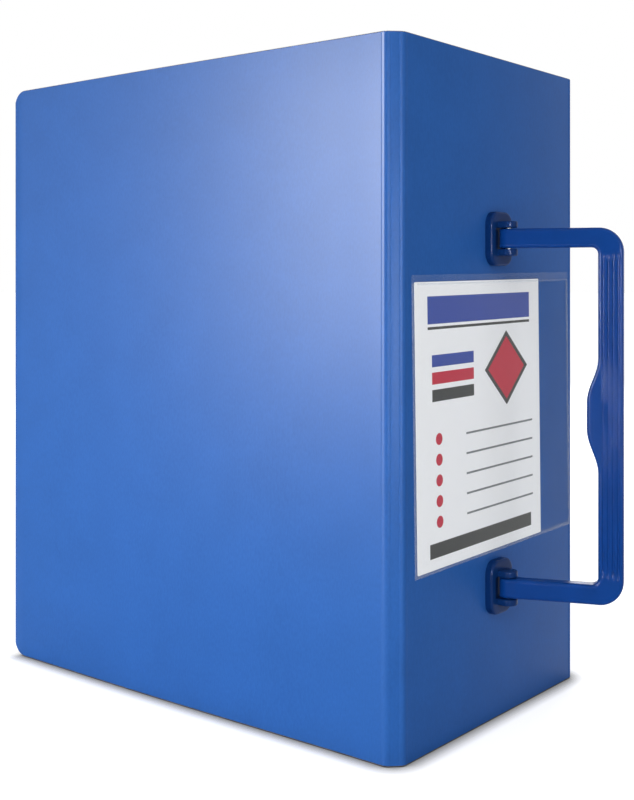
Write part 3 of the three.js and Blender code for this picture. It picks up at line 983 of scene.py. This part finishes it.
@dataclass
class Label:
    """The clear pocket welded to the spine, and the printed card in it."""

    tilt: float = math.radians(1.2)
    width: float = 139.6
    height: float = 129.0
    weld: float = 1.2
    lip: float = 1.8
    thickness: float = 0.12
    back_face: float = 0.02
    back_veil: float = 0.6
    floor: float = 0.15
    crown: float = 0.72
    rise_width: float = 4.0
    ripple: float = 0.07
    # The ripple's two waves, each by its length across and up, divided by two pi.
    waves: tuple[tuple[float, float], tuple[float, float]] = ((17.0, 29.0), (-41.0, 23.0))
    weld_height: float = 0.3
    weld_width: float = 0.5
    seam_width: float = 0.7
    grid: tuple[int, int] = (141, 129)
    film: ClearFilm = field(default_factory=ClearFilm)
    card: PrintedCard = field(default_factory=PrintedCard)

    def __post_init__(self) -> None:
        """Reads the pocket's and the card's places from the frame."""
        self.centre = box_mm("label_pocket").mean(axis=0)
        self.card_centre = box_mm("label_card").mean(axis=0)
        self.face = float(box_mm("spine_panel")[1][0])

    def build(self) -> None:
        """Dresses the card and makes the pocket."""
        paper = self.card.material(self.card_centre, self.tilt)
        card = finished_copy(frame["nodes"]["label_card"], paper, 0.0)
        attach(card, "spine")
        pocket = self.pocket()
        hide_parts("label_pocket")
        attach(pocket, "spine")
        log.info("label %s %s", card.name, pocket.name)

    def front_film(self) -> tuple[np.ndarray, np.ndarray]:
        """Works out the front film, which ends free at the mouth, below the back film's end.

        Its height over the spine rises from the weld's bead, by a smooth step, to the crown,
        with a slow ripple of two sines.

        Returns:
            The rings of height, place across and place up, rows x points x 3, and how welded
            each point is.
        """
        across = np.linspace(-0.5, 0.5, self.grid[0]) * self.width
        up = np.linspace(-0.5, 0.5, self.grid[1]) * (self.height - 2 * self.lip) - self.lip
        v, u = np.meshgrid(up, across, indexing="ij")
        edge = np.minimum(self.width / 2 - np.abs(u), v - up[0])
        rise = np.clip((edge - self.weld) / self.rise_width, 0, 1)
        rise = rise * rise * (3 - 2 * rise)
        (u_1, v_1), (u_2, v_2) = self.waves
        ripple = self.ripple * np.sin(u / u_1 + v / v_1) * np.sin(v / v_2 + u / u_2)
        bead = self.weld_height * bell(edge - self.weld, self.weld_width)
        lift = self.floor + rise * (self.crown - self.floor + ripple) + bead * (1 - rise)
        outer = np.stack([lift, u, v], axis=-1)
        inner = outer[:, ::-1] - [self.thickness, 0.0, 0.0]
        seam = bell(edge - self.weld, self.seam_width) + bell(edge, self.weld_width)
        welded = np.clip(seam + bell(up[-1] - v, self.weld_width), 0, 1)
        rings = np.concatenate([outer, inner], axis=1)
        return rings, np.concatenate([welded, welded[:, ::-1]], axis=1)

    def pocket(self) -> bpy.types.Object:
        """Makes the pocket's front film and the flat back film, which shows over the mouth.

        Returns:
            The films' piece.
        """
        front, front_weld = self.front_film()
        mouth = front[-1, 0, 2]
        step = 0.2
        corners = np.array([[-1, -1], [-1, 1], [1, 1], [1, -1]]) * [self.back_face, self.width / 2]
        levels = [-self.height / 2, mouth - step, mouth + step, self.height / 2]
        back = np.array([spread(corners, level, 2) for level in levels])
        back_weld = np.repeat([0.0, 0.0, self.back_veil, self.back_veil], len(corners))
        cos, sin = math.cos(self.tilt), math.sin(self.tilt)
        turn = np.array([[1.0, 0.0, 0.0], [0.0, cos, sin], [0.0, -sin, cos]])
        foot = [self.face, self.centre[1], self.centre[2]]
        return lofted(
            "pocket_film",
            [foot + shell @ turn for shell in (front, back)],
            self.film.material(),
            marks={"weld": np.concatenate([front_weld.ravel(), back_weld])},
        )


# The carrying handle


@dataclass
class Handle:
    """The moulded bail, its two brackets, their backing plates and the pins."""

    smooth: float = 50.0
    metal_edge: float = 0.15
    swing: float = 22.0
    leg_width: float = 9.0
    half_thickness: float = 4.0
    web_half_thickness: float = 3.65
    hub_length: float = 5.0
    hub_run: float = 1.2
    # The angle at which the hub's round end begins, a little off its very tip.
    hub_start: float = 0.12
    grip_inner: float = 40.7
    grip_width: float = 11.2
    corner: float = 11.0
    inner_corner: float = 3.0
    swell_depth: float = 5.0
    swell_half: float = 26.0
    swell_flat: float = 6.0
    edge: float = 1.5
    flutes: int = 4
    flute_pitch: float = 2.2
    flute_depth: float = 0.5
    flute_end: float = 12.0
    fade: float = 3.0
    plate_half: tuple[float, float] = (9.5, 12.5)
    plate_thickness: float = 3.5
    plate_corner: float = 6.0
    plate_ease: float = 1.1
    recess_half: tuple[float, float] = (5.7, 4.9)
    recess_floor: float = 1.6
    recess_ease: float = 0.4
    recess_corner: float = 0.8
    lug_radius: float = 4.3
    lug_thickness: float = 3.05
    lug_ease: float = 0.6
    lug_root: float = 0.3
    peg_radius: float = 2.0
    peg_head: tuple[float, float] = (3.0, 0.8)
    # The staked head's dome, in shares of the head's radius and height.
    peg_dome: tuple[tuple[float, float], ...] = ((1.0, 0.3), (0.93, 0.6), (0.75, 0.88), (0.5, 1.0))
    peg_offset: float = 8.6
    peg_depth: float = 3.0
    peg_root: float = 0.4
    # Keeps the swell off the corners' ends, and the hub's thickness over nothing.
    margin: float = 0.01

    def __post_init__(self) -> None:
        """Reads the pins' places from the frame."""
        self.pins = {level: box_mm(f"{level.word}_handle_pin").mean(axis=0) for level in Level}
        self.face = float(box_mm("spine_panel")[1][0])

    def build(
        self, grip: bpy.types.Material, mount: bpy.types.Material, steel: bpy.types.Material
    ) -> None:
        """Makes the bail and its brackets, and dresses the metal behind them.

        Args:
            grip: the bail's plastic.
            mount: the brackets' plastic.
            steel: the plates' and pins' metal.
        """
        bail = lofted("handle_bail", [self.bail()], grip, self.smooth)
        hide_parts("handle")
        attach(bail, "handle")
        log.info("handle %s", bail.name)
        for level in Level:
            shells = [shape(level, way) for shape in (self.lug, self.peg) for way in (-1, 1)]
            bracket = lofted(f"{level.word}_bracket_moulding", [self.plate(level)], mount)
            unite(bracket, lofted("bracket_details", shells, mount), self.smooth)
            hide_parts(f"{level.word}_bracket")
            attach(bracket, "spine")
            for part in ("backing_plate", "handle_pin"):
                node = frame["nodes"][f"{level.word}_{part}"]
                metal = finished_copy(node, steel, self.metal_edge)
                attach(metal, "spine")
            log.info("bracket %s", bracket.name)

    def half_line(self, reach: float, radius: float, half: float) -> np.ndarray:
        """Runs one of the bail's lines from the lower hub to the start of the grip.

        It goes round the hub's end, straight along the leg and round a quarter circle.

        Args:
            reach: how far out the grip is.
            radius: the quarter circle's radius.
            half: the leg's distance from the bail's middle.

        Returns:
            The distance from the pins and the height over the middle, n x 2.
        """
        hub = -self.half_thickness * np.cos(np.linspace(self.hub_start, QUARTER, 9))
        leg = np.linspace(0, 1, 26)[1:] * (reach - radius)
        turn = np.linspace(0, QUARTER, 14)[1:]
        straight = np.concatenate([hub, leg])
        arc = np.stack([np.sin(turn), -np.cos(turn)], 1)
        return np.concatenate(
            [spread(straight[:, None], -half, 1), [reach - radius, radius - half] + radius * arc]
        )

    def stations(self) -> tuple[np.ndarray, np.ndarray, np.ndarray, np.ndarray]:
        """Works out the bail's inner and outer lines, from the lower hub to the upper one.

        Each line runs straight along a leg, round its quarter circle and up the grip. The
        inner line also swells towards the pins, by a raised cosine round a flat middle.

        Returns:
            The inner line and the outer line, each n x 2 of distance from the pins and
            height over the middle; the half thickness; and the flutes' share of their depth.
        """
        spacing = self.pins[Level.UPPER][2] - self.pins[Level.LOWER][2]
        inner_half, outer_half = ((spacing + way * self.leg_width) / 2 for way in (-1, 1))
        outer_reach = self.grip_inner + self.grip_width
        grip = np.linspace(-1, 1, 121)[1:-1]
        lines = []
        for reach, radius, half in (
            (self.grip_inner, self.inner_corner, inner_half),
            (outer_reach, self.corner, outer_half),
        ):
            lower = self.half_line(reach, radius, half)
            middle = spread((half - radius) * grip[:, None], reach, 0)
            lines.append(np.concatenate([lower, middle, lower[::-1] * [1, -1]]))
        inner, outer = lines
        swell_run = self.swell_half - self.swell_flat
        off = np.clip((np.abs(inner[:, 1]) - self.swell_flat) / swell_run, 0, 1)
        on_grip = np.abs(inner[:, 1]) < inner_half - self.inner_corner - self.margin
        inner[on_grip, 0] -= (self.swell_depth * (1 + np.cos(math.pi * off)) / 2)[on_grip]
        reach = (inner[:, 0] + outer[:, 0]) / 2
        hub = np.clip(self.half_thickness**2 - np.minimum(reach, 0) ** 2, self.margin, None)
        web = np.clip((reach - self.hub_length) / self.hub_run, 0, 1)
        back = np.clip((reach - (self.grip_inner - self.inner_corner)) / self.fade, 0, 1)
        thinner = (self.half_thickness - self.web_half_thickness) * web * (1 - back)
        flute = np.clip((outer_half - self.flute_end - np.abs(outer[:, 1])) / self.fade, 0, 1)
        flute *= reach > self.grip_inner - self.swell_depth
        return inner, outer, np.sqrt(hub) - thinner, np.sqrt(flute)

    def ring(self) -> np.ndarray:
        """Lays out the points round one of the bail's rings, a rectangle with round corners.

        Each corner is a quarter circle. A broad face follows the first and the third one,
        and a narrow one the others.

        Returns:
            For each point four values: across and through, from -1 to 1 between the
            corners' centres, and the direction across and through from its corner's centre.
        """
        turn = np.linspace(0, QUARTER, 6)
        broad = np.linspace(1, -1, 42)[1:-1]
        narrow = np.linspace(-1, 1, 5)[1:-1]
        parts = []
        for quarter, (way, through) in enumerate(((1, 1), (-1, 1), (-1, -1), (1, -1))):
            angle = turn + quarter * QUARTER
            ones = np.ones(len(turn))
            parts.append([way * ones, through * ones, np.cos(angle), np.sin(angle)])
            if quarter % 2 == 0:
                ones = np.full(len(broad), way)
                parts.append([way * broad, ones, 0 * ones, ones])
            else:
                ones = np.full(len(narrow), way)
                parts.append([ones, way * narrow, ones, 0 * ones])
        return np.concatenate(parts, axis=1)

    def bail(self) -> np.ndarray:
        """Works out the bail's rings.

        A ring is a rectangle with round corners between the two lines. On its broad faces
        an even number of flutes, each the root of a cosine's valley, lie about the middle of
        the grip's width.

        Returns:
            The points, rings x points x 3.
        """
        inner, outer, thick, flute = self.stations()
        share, level, bend_across, bend_through = self.ring()
        across = outer - inner
        width = np.linalg.norm(across, axis=1, keepdims=True)
        radius = np.minimum(self.edge, thick)[:, None]
        x = share * (width / 2 - radius) + radius * bend_across
        y = level * (thick[:, None] - radius) + radius * bend_through
        off = width / 2 - self.grip_width / 2 - x
        valley = np.sqrt(np.clip(-np.cos(2 * math.pi * off / self.flute_pitch), 0, None))
        valley *= np.abs(off) < self.flutes * self.flute_pitch / 2
        valley *= np.abs(bend_through) > 0.99
        y -= np.sign(y) * valley * self.flute_depth * flute[:, None]
        middle = (inner + outer) / 2
        flat = middle[:, None, :] + x[..., None] * (across / width)[:, None, :]
        swing = math.radians(self.swing)
        out = np.array([math.cos(swing), math.sin(swing), 0.0])
        normal = np.array([-math.sin(swing), math.cos(swing), 0.0])
        foot = (self.pins[Level.LOWER] + self.pins[Level.UPPER]) / 2
        return foot + flat[..., :1] * out + flat[..., 1:] * UP + y[..., None] * normal

    def plate(self, level: Level) -> np.ndarray:
        """Works out a bracket plate's rings: up its side, over its rim, down its recess.

        Both edges that it goes over are quarter circles.

        Args:
            level: which bracket.

        Returns:
            The points, rings x points x 3.
        """
        turn = np.linspace(0, QUARTER, 7)
        draw = np.concatenate([[0.0], self.plate_ease * (1 - np.cos(turn))])
        rise = np.concatenate([[0.0], self.plate_thickness - self.plate_ease * (1 - np.sin(turn))])
        grow = np.concatenate([self.recess_ease * (1 - np.sin(turn)), [0.0]])
        rim = self.plate_thickness - self.recess_ease * (1 - np.cos(turn))
        drop = np.concatenate([rim, [self.recess_floor]])
        rings = []
        for half, corner, offsets, heights in (
            (self.plate_half, self.plate_corner, -draw, rise),
            (self.recess_half, self.recess_corner, grow, drop),
        ):
            for offset, height in zip(offsets, heights):
                high = (half[0] + offset, half[1] + offset)
                outline = rounded_outline((-high[0], -high[1]), high, corner + offset)
                rings.append(spread(outline, self.face + height, 0))
        return np.array(rings) + [0.0, *self.pins[level][1:]]

    def lug(self, level: Level, way: int) -> np.ndarray:
        """Works out a lug's rings: a plate with a round nose, its edges eased.

        Args:
            level: which bracket.
            way: -1 for the lug under the leg and 1 for the one over it.

        Returns:
            The points, rings x points x 3.
        """
        centre = self.pins[level]
        nose = np.linspace(-QUARTER, QUARTER, 21)
        reach = centre[0] - self.face - self.recess_floor + self.lug_root
        base = centre[2] + way * self.recess_half[1]
        turn = np.linspace(0, QUARTER, 5)
        draws = self.lug_ease * (1 - np.sin(turn))
        rises = self.lug_ease * (1 - np.cos(turn))
        levels = np.concatenate([rises, self.lug_thickness - rises[::-1]])
        rings = []
        for inset, rise in zip(np.concatenate([draws, draws[::-1]]), levels):
            radius = self.lug_radius - inset
            x = np.concatenate([[-reach], radius * np.cos(nose), [-reach]])
            y = np.concatenate([[-radius], radius * np.sin(nose), [radius]])
            rings.append(spread(centre[:2] + np.stack([x, y], 1), base + way * rise, 2))
        return np.array(rings)

    def peg(self, level: Level, way: int) -> np.ndarray:
        """Works out the rings of a peg that is staked over behind the backing plate.

        Args:
            level: which bracket.
            way: -1 for the lower peg and 1 for the upper one.

        Returns:
            The points, rings x points x 3.
        """
        head, rise = self.peg_head
        profile = [
            (self.peg_radius, self.peg_root),
            (self.peg_radius, -self.peg_depth),
            (head, -self.peg_depth),
            *((head * wide, -self.peg_depth - rise * high) for wide, high in self.peg_dome),
        ]
        angle = np.linspace(0, 2 * math.pi, 32, endpoint=False)
        circle = np.stack([np.cos(angle), np.sin(angle)], 1)
        centre = self.pins[level][1:] + [0.0, way * self.peg_offset]
        return np.array([spread(centre + r * circle, self.face + x, 0) for r, x in profile])


# The posts and fittings


@dataclass
class Fittings:
    """The two posts and, on each cover, the riveted fitting that locks them."""

    edge: float = 0.15
    slide_edge: float = 0.08
    lever_edge: float = 0.5
    mounting_rivets: int = 4
    tube: PlatedSteel = field(
        default_factory=lambda: PlatedSteel(
            "nickel_plated_tube", "#B6B8BB", 0.2, 1.2, (1.0, 0.03, 1.0)
        )
    )
    lever: MouldedPlastic = field(
        default_factory=lambda: MouldedPlastic("lever_polyamide", "#1D4294", 0.4, 0.12, 2.5)
    )

    def dress(
        self, node: str, body: str, material: bpy.types.Material, edge: float
    ) -> None:
        """Finishes one node of the fittings and lets it ride on its body.

        Args:
            node: the node's name.
            body: the body's name.
            material: the finish.
            edge: the width of its eased edges.
        """
        piece = finished_copy(frame["nodes"][node], material, edge)
        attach(piece, body)
        log.info("fitting %s", piece.name)

    def build(self, steel: bpy.types.Material) -> None:
        """Dresses the posts and both fittings.

        Args:
            steel: the pressed pieces' metal.
        """
        turned = self.tube.material()
        for level in Level:
            self.dress(f"{level.word}_post_tube", "spine", turned, self.edge)
            for side in Side:
                node = f"{level.word}_post_{side.word}_stud"
                self.dress(node, "spine", turned, 0.0)
        plastic = self.lever.material()
        rivets = ["lever_rivet", "lower_guide_rivet", "upper_guide_rivet"]
        rivets += [f"mounting_rivet_{i + 1}" for i in range(self.mounting_rivets)]
        for side in Side:
            cover = f"{side.word}_cover"
            for part in ("base_plate", "bridge"):
                self.dress(f"{side.word}_{part}", cover, steel, self.edge)
            for part in rivets:
                self.dress(f"{side.word}_{part}", cover, turned, 0.0)
            slide = f"{side.word}_lock_slide"
            self.dress(slide, slide, steel, self.slide_edge)
            lever = f"{side.word}_lever"
            self.dress(lever, lever, plastic, self.lever_edge)


# The studio


@dataclass(frozen=True)
class Softbox:
    """A flat lamp turned to a point on the object's axis. The camera doesn't see it.

    One that doesn't light surfaces only makes a sheen on the pieces in a collection.
    """

    name: str
    place: tuple[float, float, float]
    size: tuple[float, float]
    power: float
    lights_surfaces: bool = True
    aim: tuple[float, float, float] = (0.0, 0.0, 150.0)

    def hang(self, sheened: bpy.types.Collection) -> None:
        """Puts the lamp in the scene.

        Args:
            sheened: the pieces on which a lamp that only makes a sheen shows.
        """
        data = bpy.data.lights.new(self.name, "AREA")
        data.shape = "RECTANGLE"
        data.size, data.size_y = (length * MM for length in self.size)
        data.energy = self.power
        lamp = bpy.data.objects.new(self.name, data)
        across, deep, down = np.array(self.aim) - self.place
        lamp.location = tuple(np.array(self.place) * MM)
        tilt = math.atan2(math.hypot(across, deep), -down)
        lamp.rotation_euler = (tilt, 0.0, math.atan2(deep, across) - QUARTER)
        lamp.visible_camera = False
        lamp.visible_diffuse = self.lights_surfaces
        if not self.lights_surfaces:
            lamp.light_linking.receiver_collection = sheened
        bpy.context.scene.collection.objects.link(lamp)


@dataclass
class Studio:
    """The camera at the photograph's place, the floor, and plain soft light."""

    photo_height: int = 800
    focal_pixels: float = 1203.0
    horizon_pixel: float = 289.5
    sensor: float = 36.0
    near_clip: float = 10.0
    from_spine: tuple[float, float, float] = (288.0, -487.0, 199.0)
    heading: float = 39.06
    floor_half: float = 60000.0
    floor_drop: float = 0.3
    floor_paint: str = "#EDEDED"
    # The painted contact shadow under the object's edges: its dark brownish paint, how far in
    # millimetres the occlusion that sets it reaches, and the power on that occlusion.
    contact_paint: str = "#2A2622"
    contact: float = 9.0
    contact_power: float = 2.0
    # The floor's glow, and the distances in metres between which it rises.
    floor_glow: tuple[float, float] = (0.6, 0.85)
    glow_reach: tuple[float, float] = (0.5, 3.0)
    ambient: float = 0.3
    lamps: tuple[Softbox, ...] = (
        Softbox("key", (900.0, -1150.0, 1150.0), (1200.0, 1200.0), 10.5),
        Softbox("low", (-30.0, -560.0, 70.0), (700.0, 120.0), 2.6),
        Softbox("side", (1500.0, 350.0, 480.0), (800.0, 800.0), 3.4),
        Softbox("back", (-800.0, 1300.0, 950.0), (1200.0, 1200.0), 16.0),
        Softbox("high_sheen", (-565.0, -1431.0, 697.0), (460.0, 460.0), 225.0, False),
        Softbox("middle_sheen", (-631.0, -1502.0, 262.0), (460.0, 300.0), 105.0, False),
        Softbox("rim", (880.0, -560.0, 200.0), (200.0, 400.0), 17.0, False),
    )

    def camera(self, face: float) -> None:
        """Makes the camera, level and shifted so that the horizon keeps its row.

        Args:
            face: where the spine's outer face lies along X.
        """
        data = bpy.data.cameras.new("camera")
        data.sensor_width = self.sensor
        data.lens = self.focal_pixels / self.photo_height * self.sensor
        data.shift_y = (self.horizon_pixel - self.photo_height / 2) / self.photo_height
        data.clip_start = self.near_clip * MM
        camera = bpy.data.objects.new("camera", data)
        x, y, z = self.from_spine
        camera.location = ((face + x) * MM, y * MM, z * MM)
        camera.rotation_euler = (QUARTER, 0.0, math.radians(self.heading))
        bpy.context.scene.collection.objects.link(camera)
        bpy.context.scene.camera = camera

    def shown(self, tree: bpy.types.NodeTree) -> bpy.types.NodeSocket:
        """Adds the test for the rays that show the background.

        Args:
            tree: the node tree.

        Returns:
            A socket that is 1 for those rays and 0 for light.
        """
        rays = add(tree, "LightPath").outputs
        shown = rays["Is Camera Ray"]
        for ray in ("Is Glossy Ray", "Is Transmission Ray"):
            either = add(tree, "Math", {"operation": "MAXIMUM"}, i0=shown, i1=rays[ray])
            shown = either.outputs[0]
        return shown

    def floor(self) -> None:
        """Makes a pale floor, which glows where it is seen, more towards the white world.

        Close under the object's edges both its paint and its glow are darkened into a painted
        contact shadow, by a power of the open share of the sky within a few millimetres.
        """
        mesh = bpy.data.meshes.new("floor")
        half, drop = self.floor_half * MM, self.floor_drop * MM
        corners = [(-half, -half), (half, -half), (half, half), (-half, half)]
        mesh.from_pydata([(x, y, -drop) for x, y in corners], [], [(0, 1, 2, 3)])
        material, tree = new_tree("pale_floor")
        place = add(tree, "TexCoord").outputs["Object"]
        away = add(tree, "VectorMath", {"operation": "LENGTH"}, i0=place).outputs["Value"]
        rising = add(
            tree, "MapRange", value=away, from_min=self.glow_reach[0], from_max=self.glow_reach[1],
            to_min=self.floor_glow[0], to_max=self.floor_glow[1],
        )
        # Painted contact shadow: close under the object's edges the floor's glow and paint are
        # darkened by a power of the ambient occlusion.
        sky = add(tree, "AmbientOcclusion", distance=self.contact * MM).outputs["AO"]
        painted_shadow_factor = add(tree, "Math", {"operation": "POWER"}, i0=sky, i1=self.contact_power)
        strength = self.shown(tree)
        for factor in (rising, painted_shadow_factor):
            strength = add(tree, "Math", {"operation": "MULTIPLY"}, i0=strength, i1=factor)
        # Where it is occluded, the floor's paint goes to the dark paint of the painted contact
        # shadow.
        dark, pale = linear(self.contact_paint), linear(self.floor_paint)
        shade = add(tree, "Mix", {"data_type": "RGBA"}, i0=painted_shadow_factor, i6=dark, i7=pale).outputs[2]
        paint = add(tree, "BsdfDiffuse", color=shade)
        glow = add(tree, "Emission", strength=strength)
        add(tree, "OutputMaterial", surface=add(tree, "AddShader", i0=paint, i1=glow))
        new_object("floor", mesh, material)

    def light(self, sheens: Iterable[bpy.types.Material]) -> None:
        """Makes a world that is white where it is seen and dimmer as a light, and the lamps.

        Args:
            sheens: the finishes of the pieces on which the lamps' sheen shows.
        """
        world = bpy.data.worlds.new("studio")
        world.use_nodes = True
        tree = world.node_tree
        tree.nodes.clear()
        strength = add(tree, "MapRange", value=self.shown(tree), to_min=self.ambient, to_max=1.0)
        back = add(tree, "Background", color=(1.0, 1.0, 1.0, 1.0), strength=strength)
        add(tree, "OutputWorld", surface=back)
        bpy.context.scene.world = world
        sheened = bpy.data.collections.new("sheened_pieces")
        for piece in bpy.context.scene.objects:
            if piece.type == "MESH" and piece.active_material in sheens:
                sheened.objects.link(piece)
        for lamp in self.lamps:
            lamp.hang(sheened)


def main() -> None:
    """Builds the studio and the binder."""
    logging.basicConfig(level=logging.INFO, format="%(name)s: %(message)s")
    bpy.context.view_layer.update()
    studio = Studio()
    case = Case()
    studio.camera(case.face)
    studio.floor()
    bpy.context.scene.view_settings.view_transform = "Standard"
    board, grip = LaminatedBoard().material(), MouldedPlastic().material()
    mount = MouldedPlastic("bracket_polypropylene", "#0C2D60").material()
    steel = PlatedSteel().material()
    case.build(board)
    Label().build()
    Handle().build(grip, mount, steel)
    Fittings().build(steel)
    studio.light([board, grip, mount])


if __name__ == "__main__":
    main()
